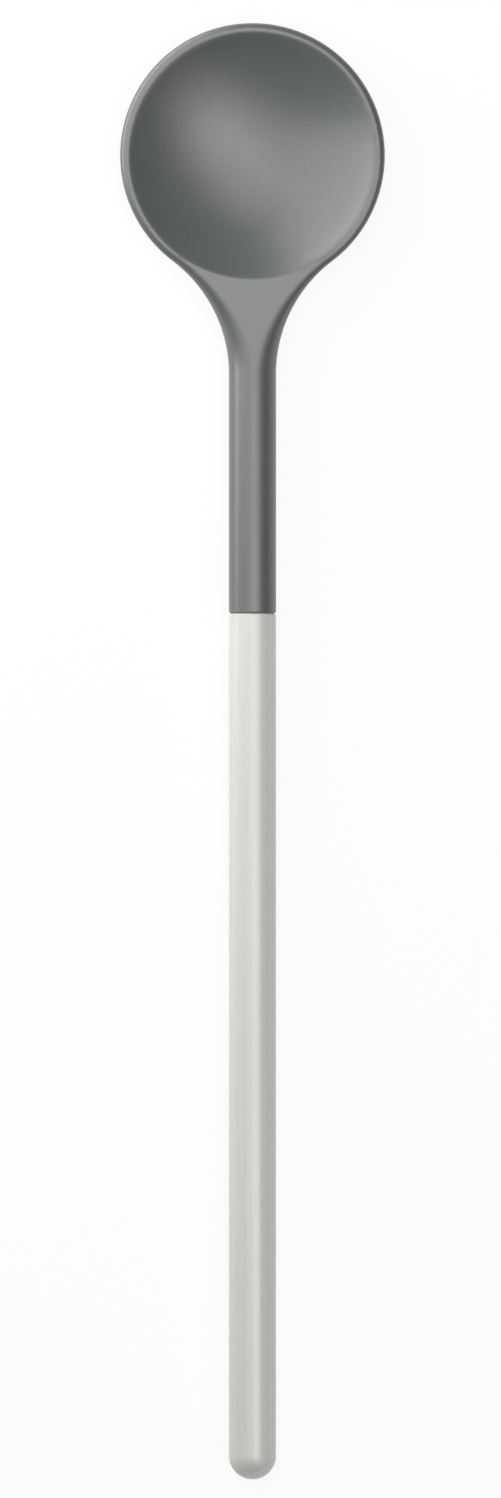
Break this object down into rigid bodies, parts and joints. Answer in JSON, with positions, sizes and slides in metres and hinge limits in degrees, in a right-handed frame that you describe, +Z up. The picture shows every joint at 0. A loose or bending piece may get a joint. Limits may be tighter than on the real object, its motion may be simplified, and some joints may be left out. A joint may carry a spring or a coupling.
{
  "type": "cooking spoon",
  "caption": "Long cooking spoon with a shallow round bowl, a flared flat-topped neck and a straight round stick that ends in a light, domed handle.",
  "frame": {"origin": "middle of the spoon's length and width, at the height of the bowl's lowest point", "axes": "+X along the spoon from the handle's domed end to the tip of the bowl, +Z up out of the bowl, square to the rim"},
  "size_m": [0.35, 0.0636, 0.012],
  "materials": {
    "head_plastic": "satin moulded, mid grey",
    "handle_plastic": "satin moulded, light warm grey",
    "rod_steel": "drawn stainless wire"
  },
  "bodies": {
    "root": {"spoon_head": "head_plastic", "handle": "handle_plastic", "core_rod": "rod_steel"}
  },
  "joints": []
}
